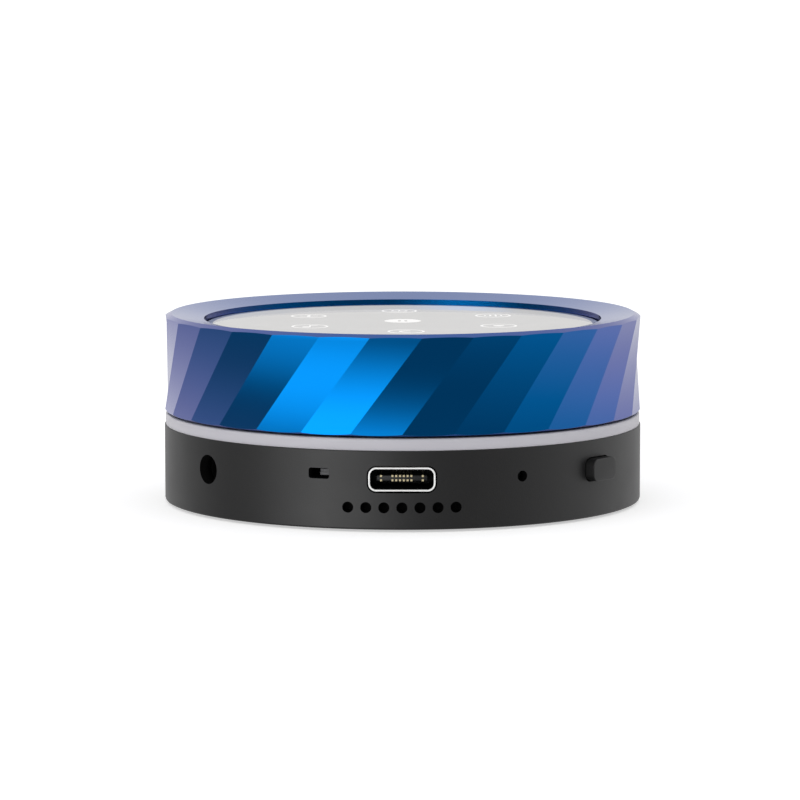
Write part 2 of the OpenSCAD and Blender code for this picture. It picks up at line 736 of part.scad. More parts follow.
// Gold contacts lie on both faces of the tongue and wrap over its front edge
module usb_contacts() color("#d6ab4c") {
    front_rho = usb_front_rho - tongue_recess;
    back_rho = usb_front_rho - usb_depth + usb_metal_t + tongue_root_t;
    for (x = contact_places, side = [-1, 1])
        translate([x - contact_w / 2, 0, usb_z]) mirror([0, 0, side < 0 ? 1 : 0])
            rotate([90, 0, 90]) linear_extrude(contact_w) polygon([[-back_rho, tongue_t / 2],
                [-front_rho, tongue_t / 2], [-front_rho, tongue_t / 2 - contact_wrap],
                [-front_rho - contact_t, tongue_t / 2 - contact_wrap],
                [-front_rho - contact_t, tongue_t / 2 + contact_t], [-back_rho, tongue_t / 2 + contact_t]]);
}

module jack_body() color("#1a1b1d") difference() {
    union() {
        outwards(jack_az, jack_back_rho, jack_body_rho, jack_z)
            square([jack_side_w, jack_side_h], center = true);
        outwards(jack_az, jack_body_rho - eps, jack_nose_rho, jack_z) circle(jack_nose_r);
    }
    outwards(jack_az, jack_bore_back_rho, jack_nose_rho + cut, jack_z) circle(jack_bore_r);
    for (rho = spring_places) outwards(jack_az, rho - jack_window_w / 2, rho + jack_window_w / 2, jack_z)
        translate([jack_side_w / 4 + jack_window_shift, 0]) square([jack_side_w / 2, jack_window_h], center = true);
}

module jack_springs() color("#cfa850") for (rho = spring_places)
    outwards(jack_az, rho - spring_w / 2, rho + spring_w / 2, jack_z)
        translate([spring_place, 0]) square([spring_t, jack_window_h], center = true);

module slide_switch_case() color("#5b5e62") difference() {
    outwards(slider_az, slider_case_rho[0], slider_case_rho[1], board_z - slider_case_h / 2)
        square([slider_case_w, slider_case_h], center = true);
    outwards(slider_az, slider_case_rho[0] + slider_case_wall, slider_case_rho[1] + cut, slider_z)
        square([slot_w + slider_play, slider_knob_h + slider_play], center = true);
}

module slide_switch_knob() color("#4a4c50")
    outwards(slider_az, slider_case_rho[0] + slider_case_wall + slider_play, slider_knob_front, slider_z)
        translate([slider_rest, 0]) square([slider_knob_w, slider_knob_h], center = true);

module button_switch_case() color("#2b2c2e") difference() {
    outwards(button_az, button_case_rho[0], button_case_rho[1], button_z)
        square([button_case_w, button_case_h], center = true);
    outwards(button_az, button_case_bore_rho, button_case_rho[1] + cut, button_z)
        circle(plunger_r + 2 * slack);
}

module button_plunger() color("#d8d6cf")
    outwards(button_az, plunger_back_rho, button_flange_rho[0], button_z) circle(plunger_r);

module power_button() color("#3b3c3e") {
    outwards(button_az, button_flange_rho[0], button_flange_rho[1], button_z)
        rounded_rect(button_w + 2 * button_flange_lap, button_h + 2 * button_flange_lap,
            button_corner_r + button_flange_lap);
    outwards(button_az, button_flange_rho[1] - eps, button_front_rho, button_z)
        rounded_rect(button_w, button_h, button_corner_r);
}

module mic_boot() color("#202123") outwards(mic_az, shell_inner_r - mic_boot_gap - mic_boot_len,
    shell_inner_r - mic_boot_gap, mic_z) difference() {
        circle(mic_boot_r);
        circle(mic_hole_r - mic_boot_lip);
    }

module mic_capsule() color("#c2c5c8") {
    back_rho = shell_inner_r - mic_boot_gap - mic_boot_len - mic_capsule_len;
    outwards(mic_az, back_rho, back_rho + mic_capsule_len, mic_z) circle(mic_capsule_r);
}

module speaker_box() color("#1d1e20") difference() {
    translate([0, speaker_box_depth / 2 - speaker_box_front, 0])
        block([speaker_box_w, speaker_box_depth, speaker_box_h], cover_top + slack);
    translate([0, speaker_box_depth / 2 - speaker_box_front, 0])
        block([speaker_box_w - 2 * speaker_box_wall, speaker_box_depth - 2 * speaker_box_wall,
            speaker_box_h - 2 * speaker_box_wall], cover_top + slack + speaker_box_wall);
    translate([0, -speaker_box_front, speaker_z])
        cube([speaker_mouth[0], 3 * speaker_box_wall, speaker_mouth[1]], center = true);
}

module speaker_driver() color("#6d7074") translate([0, driver_y, 0]) difference() {
    block([driver_w, driver_d, driver_t], speaker_floor_z);
    block([driver_w - 2 * driver_rim, driver_d - 2 * driver_rim, driver_t], speaker_floor_z + driver_magnet_t);
}

module speaker_cone() color("#2f3a45") translate([0, driver_y, speaker_floor_z + driver_magnet_t])
    linear_extrude(cone_t) rounded_rect(driver_w - 2 * driver_rim, driver_d - 2 * driver_rim, cone_corner_r);

module speaker_mesh() color("#0e0e0f") translate([0, 0, speaker_z - mesh_h / 2])
    rotate([0, 0, -90 - mesh_span / 2]) rotate_extrude(angle = mesh_span)
        translate([shell_inner_r - slack - mesh_t, 0]) square([mesh_t, mesh_h]);

module battery_cell() color("#a9acb1") translate([0, (battery_y[0] + battery_y[1]) / 2, battery_z])
    linear_extrude(battery_size[2]) rounded_rect(battery_size[0], battery_size[1], battery_corner_r);

module battery_tape() color("#e8e4d6") translate([0, (battery_y[0] + battery_y[1]) / 2, 0])
    block([battery_size[0] - 2 * battery_tape_margin, battery_size[1] - 2 * battery_tape_margin,
        battery_tape_t], cover_top);

// Straight leads, cut off flush with the battery and with the plug
module battery_leads() color("#b3261e") {
    run_y = battery_y[0] - plug_place[1] - plug_size[1] / 2;
    run_z = board_z - plug_size[2] / 2 - lead_exit_z;
    for (side = [-0.5, 0.5]) translate([plug_place[0] + side * lead_spacing, battery_y[0], lead_exit_z])
        intersection() {
            rotate([90 - atan2(run_z, run_y), 0, 0]) translate([0, 0, -cut])
                cylinder(r = lead_r, h = norm([run_y, run_z]) + 2 * cut);
            translate([-cut, -run_y, -run_z]) cube([2 * cut, run_y, 3 * run_z]);
        }
}

module battery_plug() color("#efe9d8") under_board(plug_size, plug_place);

base_shell();
bottom_cover();
foot_ring();
bottom_screws();
threaded_inserts();
main_board();
pedestal();
pedestal_screws();
light_diffuser();
light_array();
knob_ring();
rotor_hub();
knob_screws();
bearing_outer_race();
bearing_circlip();
bearing_inner_race();
bearing_balls();
bearing_cage();
encoder_case();
encoder_pinion();
display_carrier();
carrier_screws();
display_panel();
optical_adhesive();
cover_glass();
display_ribbon();
ribbon_socket();
wireless_module();
module_shield();
audio_codec();
power_chips();
usb_shell();
usb_tongue();
usb_contacts();
jack_body();
jack_springs();
slide_switch_case();
slide_switch_knob();
button_switch_case();
button_plunger();
power_button();
mic_boot();
mic_capsule();
speaker_box();
speaker_driver();
speaker_cone();
speaker_mesh();
battery_cell();
battery_tape();
battery_leads();
battery_plug();
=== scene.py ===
import json
import math
import bmesh
import bpy
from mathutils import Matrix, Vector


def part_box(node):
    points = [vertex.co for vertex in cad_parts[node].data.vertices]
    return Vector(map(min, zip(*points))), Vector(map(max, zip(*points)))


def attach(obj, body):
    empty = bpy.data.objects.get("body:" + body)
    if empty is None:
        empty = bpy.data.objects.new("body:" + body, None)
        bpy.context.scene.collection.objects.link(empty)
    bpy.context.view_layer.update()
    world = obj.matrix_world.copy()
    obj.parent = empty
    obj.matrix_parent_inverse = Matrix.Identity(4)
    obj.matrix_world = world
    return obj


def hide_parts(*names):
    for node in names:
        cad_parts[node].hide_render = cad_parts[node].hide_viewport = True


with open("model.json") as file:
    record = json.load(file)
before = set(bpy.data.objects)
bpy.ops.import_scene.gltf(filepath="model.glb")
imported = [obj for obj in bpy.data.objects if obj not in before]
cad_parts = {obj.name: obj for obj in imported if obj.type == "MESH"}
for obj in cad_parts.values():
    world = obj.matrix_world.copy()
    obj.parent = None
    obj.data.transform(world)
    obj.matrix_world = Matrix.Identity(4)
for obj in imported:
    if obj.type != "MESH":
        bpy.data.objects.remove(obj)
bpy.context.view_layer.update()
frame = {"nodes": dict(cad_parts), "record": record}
mm = 0.001
record = frame["record"]
slotOf = {part["node"]: part["material_slot"] for part in record["subparts"]}
bodyOf = {node: body for body, nodes in record["behaviour"]["bodies"].items() for node in nodes}


def nodeBox(node):  # low corner, high corner and centre of a CAD node
    low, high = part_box(node)
    return low, high, (low + high) / 2


# ---- camera, room and light ----

cameraSettings = {"distance": 589.71 * mm, "height": 6.523, "turn": 0.2, "aim": (-0.36 * mm, 0, 13.79 * mm), "lens": 190.98}


def setCamera():
    lift = math.radians(cameraSettings["height"])
    aimX, aimY, aimZ = cameraSettings["aim"]
    reach = cameraSettings["distance"]
    turn = math.radians(cameraSettings["turn"])
    level = reach * math.cos(lift)
    place = (aimX + level * math.sin(turn), aimY - level * math.cos(turn), aimZ + reach * math.sin(lift))
    bpy.ops.object.camera_add(location=place, rotation=(math.pi / 2 - lift, 0, turn))
    camera = bpy.context.object
    camera.name = "camera"
    camera.data.lens = cameraSettings["lens"]
    camera.data.sensor_width = 36
    camera.data.clip_start = 0.02
    camera.data.clip_end = 50
    bpy.context.scene.camera = camera


# brightness of the studio by azimuth, in degrees from the front towards +X: its walls, and one tall softbox
studio = {
    "walls": [(-180, 0.87), (-160, 0.9), (-152, 0.86), (-136, 0.75), (-120, 0.62), (-104, 0.45), (-96, 0.365),
              (-88, 0.28), (-76, 0.26), (30, 0.25), (40, 0.31), (56, 0.46), (72, 0.66), (96, 0.86), (120, 0.93),
              (136, 0.83), (152, 0.81), (180, 0.87)],
    "softbox": [(-180, 0), (-76, 0), (-70, 0.2), (-64, 0.8), (-58, 1.4), (-52, 2.0), (-46, 2.6), (-38, 3.0),
                (-28, 2.8), (-20, 2.25), (-14, 1.6), (-9, 1.0), (-4, 0.5), (0, 0.27), (4, 0.1), (9, 0), (180, 0)],
    "scale": 3.2,
    "ceiling": 0.75,
    "ceilingFrom": 0.18,
    "ceilingTo": 0.48,
    "softboxLow": -0.69,
    "softboxDim": 0.0,
}


def roundRamp(nodes, links, around, stopList):  # brightness by azimuth, as a colour ramp
    ramp = nodes.new("ShaderNodeValToRGB")
    stops = ramp.color_ramp.elements
    for number, (degrees, bright) in enumerate(stopList):
        place = (degrees + 180) / 360
        stop = stops[number] if number < 2 else stops.new(place)
        stop.position = place
        shade = bright / studio["scale"]
        stop.color = (shade, shade, shade, 1)
    links.new(around.outputs[0], ramp.inputs[0])
    return ramp


def lightRoom():
    world = bpy.data.worlds.new("studio")
    bpy.context.scene.world = world
    world.use_nodes = True
    nodes, links = world.node_tree.nodes, world.node_tree.links
    nodes.clear()
    direction = nodes.new("ShaderNodeTexCoord")
    split = nodes.new("ShaderNodeSeparateXYZ")
    links.new(direction.outputs["Generated"], split.inputs[0])
    front = nodes.new("ShaderNodeMath")
    front.operation = "MULTIPLY"
    front.inputs[1].default_value = -1
    links.new(split.outputs["Y"], front.inputs[0])
    azimuth = nodes.new("ShaderNodeMath")
    azimuth.operation = "ARCTAN2"
    links.new(split.outputs["X"], azimuth.inputs[0])
    links.new(front.outputs[0], azimuth.inputs[1])
    around = nodes.new("ShaderNodeMapRange")
    around.inputs["From Min"].default_value = -math.pi
    around.inputs["From Max"].default_value = math.pi
    links.new(azimuth.outputs[0], around.inputs["Value"])
    walls = roundRamp(nodes, links, around, studio["walls"])
    softbox = roundRamp(nodes, links, around, studio["softbox"])
    height = nodes.new("ShaderNodeMapRange")  # the softbox is dimmer towards its foot
    height.inputs["From Min"].default_value = studio["softboxLow"]
    height.inputs["From Max"].default_value = 0
    height.inputs["To Min"].default_value = studio["softboxDim"]
    links.new(split.outputs["Z"], height.inputs["Value"])
    lamp = nodes.new("ShaderNodeVectorMath")
    lamp.operation = "SCALE"
    links.new(softbox.outputs["Color"], lamp.inputs[0])
    links.new(height.outputs[0], lamp.inputs["Scale"])
    lit = nodes.new("ShaderNodeVectorMath")
    links.new(walls.outputs["Color"], lit.inputs[0])
    links.new(lamp.outputs[0], lit.inputs[1])
    upward = nodes.new("ShaderNodeMapRange")
    upward.interpolation_type = "SMOOTHSTEP"
    upward.inputs["From Min"].default_value = studio["ceilingFrom"]
    upward.inputs["From Max"].default_value = studio["ceilingTo"]
    links.new(split.outputs["Z"], upward.inputs["Value"])
    roomColour = nodes.new("ShaderNodeMix")
    roomColour.data_type = "RGBA"
    ceiling = studio["ceiling"] / studio["scale"]
    roomColour.inputs["B"].default_value = (ceiling, ceiling, ceiling, 1)
    links.new(upward.outputs[0], roomColour.inputs["Factor"])
    links.new(lit.outputs[0], roomColour.inputs["A"])
    room = nodes.new("ShaderNodeBackground")
    room.inputs["Strength"].default_value = studio["scale"]
    links.new(roomColour.outputs["Result"], room.inputs["Color"])
    backdrop = nodes.new("ShaderNodeBackground")  # what the lens sees behind the floor
    backdrop.inputs["Color"].default_value = (1, 1, 1, 1)
    rays = nodes.new("ShaderNodeLightPath")
    choose = nodes.new("ShaderNodeMixShader")
    links.new(rays.outputs["Is Camera Ray"], choose.inputs[0])
    links.new(room.outputs[0], choose.inputs[1])
    links.new(backdrop.outputs[0], choose.inputs[2])
    out = nodes.new("ShaderNodeOutputWorld")
    links.new(choose.outputs[0], out.inputs["Surface"])


floorSettings = {"size": 12.0, "colour": (0.86, 0.86, 0.86, 1), "glow": 0.5}


def layFloor():
    bpy.ops.object.select_all(action="DESELECT")
    bpy.ops.mesh.primitive_plane_add(size=floorSettings["size"], location=(0, 0, -0.00002))
    floor = bpy.context.object
    floor.name = "floor"
    bpy.ops.object.transform_apply(location=True, rotation=True, scale=True)
    paper = bpy.data.materials.new("paleFloor")
    paper.use_nodes = True
    shader = paper.node_tree.nodes["Principled BSDF"]
    shader.inputs["Base Color"].default_value = floorSettings["colour"]
    shader.inputs["Roughness"].default_value = 1
    shader.inputs["Specular IOR Level"].default_value = 0
    shader.inputs["Emission Color"].default_value = (1, 1, 1, 1)
    shader.inputs["Emission Strength"].default_value = floorSettings["glow"]
    floor.data.materials.append(paper)
    floor.visible_glossy = False


# ---- shared effects ----

def effectGroup(name, inputs, outputs):
    group = bpy.data.node_groups.new(name, "ShaderNodeTree")
    for label, kind, value in inputs:
        socket = group.interface.new_socket(name=label, in_out="INPUT", socket_type=kind)
        socket.default_value = value
    for label, kind in outputs:
        group.interface.new_socket(name=label, in_out="OUTPUT", socket_type=kind)
    return group, group.nodes.new("NodeGroupInput"), group.nodes.new("NodeGroupOutput")


def makeGrain():  # fine bead-blast or spark-eroded grain, in roughness and in relief
    inputs = [("Scale", "NodeSocketFloat", 3000.0), ("Depth", "NodeSocketFloat", 0.00001),
              ("Roughness", "NodeSocketFloat", 0.4), ("Spread", "NodeSocketFloat", 0.1)]
    group, given, result = effectGroup("fineGrain", inputs, [("Roughness", "NodeSocketFloat"), ("Normal", "NodeSocketVector")])
    nodes, links = group.nodes, group.links
    place = nodes.new("ShaderNodeTexCoord")
    grain = nodes.new("ShaderNodeTexNoise")
    grain.inputs["Detail"].default_value = 3
    links.new(place.outputs["Object"], grain.inputs["Vector"])
    links.new(given.outputs["Scale"], grain.inputs["Scale"])
    relief = nodes.new("ShaderNodeBump")
    relief.inputs["Strength"].default_value = 1
    links.new(grain.outputs["Fac"], relief.inputs["Height"])
    links.new(given.outputs["Depth"], relief.inputs["Distance"])
    links.new(relief.outputs["Normal"], result.inputs["Normal"])
    cloud = nodes.new("ShaderNodeTexNoise")
    cloud.inputs["Scale"].default_value = 160
    cloud.inputs["Detail"].default_value = 4
    links.new(place.outputs["Object"], cloud.inputs["Vector"])
    centred = nodes.new("ShaderNodeMath")
    centred.operation = "SUBTRACT"
    centred.inputs[1].default_value = 0.5
    links.new(cloud.outputs["Fac"], centred.inputs[0])
    spread = nodes.new("ShaderNodeMath")
    spread.operation = "MULTIPLY_ADD"
    links.new(centred.outputs[0], spread.inputs[0])
    links.new(given.outputs["Spread"], spread.inputs[1])
    links.new(given.outputs["Roughness"], spread.inputs[2])
    links.new(spread.outputs[0], result.inputs["Roughness"])
    return group


def makeTone():  # slow drift of a colour over a surface
    inputs = [("Color", "NodeSocketColor", (0.5, 0.5, 0.5, 1)), ("Scale", "NodeSocketFloat", 60.0),
              ("Amount", "NodeSocketFloat", 0.1)]
    group, given, result = effectGroup("toneDrift", inputs, [("Color", "NodeSocketColor")])
    nodes, links = group.nodes, group.links
    place = nodes.new("ShaderNodeTexCoord")
    cloud = nodes.new("ShaderNodeTexNoise")
    cloud.inputs["Detail"].default_value = 5
    links.new(place.outputs["Object"], cloud.inputs["Vector"])
    links.new(given.outputs["Scale"], cloud.inputs["Scale"])
    centred = nodes.new("ShaderNodeMath")
    centred.operation = "SUBTRACT"
    centred.inputs[1].default_value = 0.5
    links.new(cloud.outputs["Fac"], centred.inputs[0])
    swing = nodes.new("ShaderNodeMath")
    swing.operation = "MULTIPLY_ADD"
    swing.inputs[2].default_value = 1
    links.new(centred.outputs[0], swing.inputs[0])
    links.new(given.outputs["Amount"], swing.inputs[1])
    tint = nodes.new("ShaderNodeVectorMath")
    tint.operation = "SCALE"
    links.new(given.outputs["Color"], tint.inputs[0])
    links.new(swing.outputs[0], tint.inputs["Scale"])
    links.new(tint.outputs[0], result.inputs["Color"])
    return group


# ---- finishes, one for each slot ----

finishes = {
    "base_plastic": {"colour": (0.0095, 0.0095, 0.01), "roughness": 0.43, "grain": 5200, "depth": 0.000012},
    "cover_plastic": {"colour": (0.026, 0.026, 0.027), "roughness": 0.55, "grain": 3200, "depth": 0.00002},
    "foot_rubber": {"colour": (0.012, 0.012, 0.012), "roughness": 0.8, "grain": 2600, "depth": 0.00003},
    "screw_steel": {"colour": (0.55, 0.56, 0.58), "roughness": 0.3, "metal": 1, "grain": 3000, "depth": 0.000005},
    "insert_brass": {"colour": (0.72, 0.53, 0.26), "roughness": 0.32, "metal": 1, "grain": 3000, "depth": 0.000005},
    "board_green": {"colour": (0.008, 0.07, 0.04), "roughness": 0.35, "grain": 900, "depth": 0.00001, "drift": 0.5},
    "inner_black": {"colour": (0.018, 0.018, 0.02), "roughness": 0.55, "grain": 2600, "depth": 0.00002},
    "diffuser_white": {"colour": (0.5, 0.49, 0.53), "roughness": 0.42, "grain": 4000, "depth": 0.000006,
                       "milky": 0.35},
    "led_white": {"colour": (0.85, 0.84, 0.76), "roughness": 0.3, "grain": 2000, "depth": 0.000005},
    "ring_blue": {"colour": (0.001, 0.136, 0.42), "roughness": 0.17, "metal": 1, "grain": 6000, "depth": 0.000001},
    "hub_natural": {"colour": (0.78, 0.76, 0.70), "roughness": 0.4, "grain": 1500, "depth": 0.00001},
    "bearing_steel": {"colour": (0.62, 0.63, 0.65), "roughness": 0.14, "metal": 1, "grain": 4000, "depth": 0.000002},
    "cage_nylon": {"colour": (0.52, 0.38, 0.20), "roughness": 0.5, "grain": 1600, "depth": 0.00001},
    "carrier_aluminium": {"colour": (0.6, 0.61, 0.63), "roughness": 0.36, "metal": 1, "grain": 2600, "depth": 0.00001},
    "panel_light": {"colour": (0.02, 0.02, 0.02), "roughness": 0.6, "grain": 3000, "depth": 0.000002, "glow": 0.575},
    "icon_light": {"colour": (0.02, 0.02, 0.02), "roughness": 0.6, "grain": 3000, "depth": 0.000002, "glow": 0.95},
    # painted reflection: lavender for the sky mirrored in the glass edge
    "glass_border": {"colour": (0.26, 0.3, 0.42), "roughness": 0.5, "grain": 3000, "depth": 0.000002},
    # painted shade: a darker, less glossy copy of the base plastic for the button's sides
    "button_side": {"colour": (0.005, 0.005, 0.0052), "roughness": 0.6, "grain": 2600, "depth": 0.00002, "gloss": 0.22},
    # painted shade: near black with almost no gloss, for the shade inside openings
    "hole_black": {"colour": (0.002, 0.002, 0.002), "roughness": 0.9, "grain": 3000, "depth": 0.00001, "gloss": 0.05},
    # painted highlight: near-white, mostly non-metal steel for the port's bright reflection
    "port_steel": {"colour": (0.93, 0.93, 0.92), "roughness": 0.38, "metal": 0.25, "grain": 3000, "depth": 0.000003},
    "adhesive_clear": {"colour": (0.9, 0.93, 0.95), "roughness": 0.1, "grain": 2000, "depth": 0.000002},
    "cover_glass": {"colour": (1, 1, 1), "roughness": 0.02, "grain": 800, "depth": 0.0000002, "clear": 1.02},
    "ribbon_amber": {"colour": (0.6, 0.25, 0.05), "roughness": 0.3, "grain": 1800, "depth": 0.000005},
    "socket_ivory": {"colour": (0.72, 0.68, 0.58), "roughness": 0.45, "grain": 1800, "depth": 0.00001},
    "module_black": {"colour": (0.015, 0.016, 0.02), "roughness": 0.35, "grain": 1200, "depth": 0.00001},
    "shield_steel": {"colour": (0.68, 0.69, 0.7), "roughness": 0.2, "metal": 1, "grain": 3000, "depth": 0.000003},
    "chip_black": {"colour": (0.012, 0.012, 0.013), "roughness": 0.5, "grain": 3000, "depth": 0.00001},
    "contact_gold": {"colour": (0.95, 0.82, 0.52), "roughness": 0.22, "metal": 1, "grain": 3000, "depth": 0.000002},
    "switch_grey": {"colour": (0.06, 0.06, 0.064), "roughness": 0.45, "grain": 3000, "depth": 0.00001},
    "cone_film": {"colour": (0.03, 0.04, 0.06), "roughness": 0.3, "grain": 1500, "depth": 0.00001},
    # the speaker mesh is black; its near-zero colour and low gloss also paint the shade inside the speaker holes
    "mesh_black": {"colour": (0.003, 0.003, 0.003), "roughness": 0.8, "grain": 4000, "depth": 0.00004, "gloss": 0.15},
    "cell_foil": {"colour": (0.45, 0.46, 0.48), "roughness": 0.38, "metal": 1, "grain": 900, "depth": 0.00004},
    "lead_red": {"colour": (0.55, 0.03, 0.02), "roughness": 0.4, "grain": 1500, "depth": 0.00001},
}


def makeFinish(name, finish, grain, tone):
    material = bpy.data.materials.new(name)
    material.use_nodes = True
    nodes, links = material.node_tree.nodes, material.node_tree.links
    shader = nodes["Principled BSDF"]
    texture = nodes.new("ShaderNodeGroup")
    texture.node_tree = grain
    texture.inputs["Scale"].default_value = finish["grain"]
    texture.inputs["Depth"].default_value = finish["depth"]
    texture.inputs["Roughness"].default_value = finish["roughness"]
    texture.inputs["Spread"].default_value = finish.get("spread", 0.25 * finish["roughness"])
    links.new(texture.outputs["Normal"], shader.inputs["Normal"])
    if "clear" not in finish:
        links.new(texture.outputs["Roughness"], shader.inputs["Roughness"])
    drift = nodes.new("ShaderNodeGroup")
    drift.node_tree = tone
    drift.inputs["Amount"].default_value = finish.get("drift", 0.08)
    drift.inputs["Color"].default_value = (*finish["colour"], 1)
    links.new(drift.outputs["Color"], shader.inputs["Base Color"])
    shader.inputs["Metallic"].default_value = finish.get("metal", 0)
    shader.inputs["Specular IOR Level"].default_value = finish.get("gloss", 0.5)
    if "clear" in finish:
        shader.inputs["Roughness"].default_value = finish["roughness"]
        shader.inputs["Transmission Weight"].default_value = 1
        shader.inputs["IOR"].default_value = finish["clear"]
    if "milky" in finish:
        shader.inputs["Subsurface Weight"].default_value = finish["milky"]
        shader.inputs["Subsurface Radius"].default_value = (1, 1, 1)
        shader.inputs["Subsurface Scale"].default_value = 0.0008
    if "glow" in finish:
        rays = nodes.new("ShaderNodeLightPath")
        paintedReflectionShade = nodes.new("ShaderNodeMix")  # painted shade in reflections: glossy rays see the screen's glow at a fifth, so the ring mirrors it only faintly
        paintedReflectionShade.data_type = "RGBA"
        paintedReflectionShade.inputs["A"].default_value = (1, 0.99, 0.98, 1)
        paintedReflectionShade.inputs["B"].default_value = (0.2, 0.2, 0.2, 1)
        links.new(rays.outputs["Glossy Depth"], paintedReflectionShade.inputs["Factor"])
        links.new(paintedReflectionShade.outputs["Result"], shader.inputs["Emission Color"])
        shader.inputs["Emission Strength"].default_value = finish["glow"]
    return material


# painted sheen: the ring's base colour turns violet towards a glancing view
sheen = [(0.2, 0.001), (0.3, 0.018), (0.45, 0.056), (0.6, 0.1), (0.78, 0.12)]


def paintSheenOnRing(material):
    nodes, links = material.node_tree.nodes, material.node_tree.links
    glance = nodes.new("ShaderNodeLayerWeight")
    glance.inputs["Blend"].default_value = 0.5
    ramp = nodes.new("ShaderNodeValToRGB")
    stops = ramp.color_ramp.elements
    green, blue = finishes["ring_blue"]["colour"][1:]
    for number, (place, red) in enumerate(sheen):
        stop = stops[number] if number < 2 else stops.new(place)
        stop.position = place
        stop.color = (red, green, blue, 1)
    rim = nodes.new("ShaderNodeNewGeometry")  # the painted sheen is weaker on upward faces, so the turned rim is less violet than the facets
    upright = nodes.new("ShaderNodeSeparateXYZ")
    links.new(rim.outputs["Normal"], upright.inputs[0])
    weaken = nodes.new("ShaderNodeMapRange")
    weaken.inputs["From Min"].default_value = 0.92
    weaken.inputs["From Max"].default_value = 0.98
    weaken.inputs["To Min"].default_value = 1
    weaken.inputs["To Max"].default_value = 0.6
    links.new(upright.outputs["Z"], weaken.inputs["Value"])
    glancing = nodes.new("ShaderNodeMath")
    glancing.operation = "MULTIPLY"
    links.new(glance.outputs["Facing"], glancing.inputs[0])
    links.new(weaken.outputs[0], glancing.inputs[1])
    links.new(glancing.outputs[0], ramp.inputs[0])
    drift = [node for node in nodes if node.type == "GROUP" and node.node_tree.name == "toneDrift"][0]
    links.new(ramp.outputs["Color"], drift.inputs["Color"])


# ---- making and finishing pieces ----

def named(name):
    piece = bpy.context.object
    piece.name = piece.data.name = name
    return piece


def alone(piece):
    bpy.ops.object.select_all(action="DESELECT")
    piece.select_set(True)
    bpy.context.view_layer.objects.active = piece


def settle():
    bpy.ops.object.transform_apply(location=True, rotation=True, scale=True)


def pick(piece, kind, test):  # in edit mode: selects only the faces or edges that pass the test
    bpy.ops.mesh.select_all(action="DESELECT")
    bpy.ops.mesh.select_mode(type="FACE" if kind == "faces" else "EDGE")
    shape = bmesh.from_edit_mesh(piece.data)
    for part in getattr(shape, kind):
        if test(part):
            part.select_set(True)
    shape.select_flush_mode()
    bmesh.update_edit_mesh(piece.data)


def applyModifier(piece, kind, **values):
    alone(piece)
    modifier = piece.modifiers.new(kind.lower(), kind)
    for key, value in values.items():
        setattr(modifier, key, value)
    bpy.ops.object.modifier_apply(modifier=modifier.name)


def soften(piece, width, steps=3, angle=30, smooth=35):
    applyModifier(piece, "BEVEL", width=width, segments=steps, limit_method="ANGLE",
                  angle_limit=math.radians(angle), use_clamp_overlap=True, harden_normals=False)
    alone(piece)
    bpy.ops.object.shade_smooth_by_angle(angle=math.radians(smooth))


def turned(name, outline, steps=240, hollow=True):  # closed lathe shape, from points (radius, height) in metres
    bpy.ops.object.select_all(action="DESELECT")
    radius, height = outline[0]
    bpy.ops.mesh.primitive_circle_add(vertices=steps, radius=radius, location=(0, 0, height))
    piece = named(name)
    settle()
    bpy.ops.object.mode_set(mode="EDIT")
    bpy.ops.mesh.select_mode(type="EDGE")
    bpy.ops.mesh.select_all(action="SELECT")
    for nextRadius, nextHeight in outline[1:]:
        bpy.ops.mesh.extrude_edges_move()
        bpy.ops.transform.translate(value=(0, 0, nextHeight - height))
        widen = nextRadius / radius
        bpy.ops.transform.resize(value=(widen, widen, 1), center_override=(0, 0, nextHeight))
        radius, height = nextRadius, nextHeight
    pick(piece, "edges", lambda edge: edge.is_boundary)
    if hollow:
        bpy.ops.mesh.bridge_edge_loops()
    else:
        bpy.ops.mesh.edge_face_add()
    tidyMesh(piece)
    return piece


def tidyMesh(piece):  # merges doubles and turns faces outwards, then leaves edit mode
    if piece.mode != "EDIT":
        alone(piece)
        bpy.ops.object.mode_set(mode="EDIT")
    bpy.ops.mesh.select_all(action="SELECT")
    bpy.ops.mesh.remove_doubles(threshold=0.0000005)
    bpy.ops.mesh.normals_make_consistent(inside=False)
    bpy.ops.object.mode_set(mode="OBJECT")


def block(name, size, corner=0.0, steps=8):  # box about the origin whose four edges along Y are rounded
    bpy.ops.object.select_all(action="DESELECT")
    bpy.ops.mesh.primitive_cube_add(size=1, scale=size)
    piece = named(name)
    settle()
    if corner > 0:
        bpy.ops.object.mode_set(mode="EDIT")
        pick(piece, "edges", lambda e: abs(e.verts[0].co.y - e.verts[1].co.y) > size[1] / 2)
        bpy.ops.mesh.bevel(offset=corner, segments=steps, affect="EDGES")
        bpy.ops.object.mode_set(mode="OBJECT")
    return piece


def sendOut(piece, azimuth, reach, height):  # moves a piece made about the origin out along an azimuth
    alone(piece)
    angle = math.radians(azimuth)
    piece.location = (reach * math.sin(angle), -reach * math.cos(angle), height)
    piece.rotation_euler = (0, 0, angle)
    settle()
    return piece


def cut(piece, cutter, how="DIFFERENCE"):
    applyModifier(piece, "BOOLEAN", object=cutter, operation=how, solver="EXACT")
    bpy.data.objects.remove(cutter)


def joined(name, pieces):
    bpy.ops.object.select_all(action="DESELECT")
    for piece in pieces:
        piece.select_set(True)
    bpy.context.view_layer.objects.active = pieces[0]
    bpy.ops.object.join()
    return named(name)


def wear(piece, slot, body="housing", nodes=(), finish=None):  # finish, slot, body, and nodes it stands for
    piece.data.materials.clear()
    piece.data.materials.append(finishOf[finish or slot])
    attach(piece, body)
    if nodes:
        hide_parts(*nodes)


# ---- azimuths and heights of the features on the base ----

def azimuthOf(node):
    centre = nodeBox(node)[2]
    return math.degrees(math.atan2(centre.x, -centre.y))


def roundHole(radius, azimuth, reach, height, deep, sides=64):
    bpy.ops.object.select_all(action="DESELECT")
    bpy.ops.mesh.primitive_cylinder_add(vertices=sides, radius=radius, depth=deep, rotation=(math.pi / 2, 0, 0))
    hole = named("hole")
    settle()
    return sendOut(hole, azimuth, reach, height)


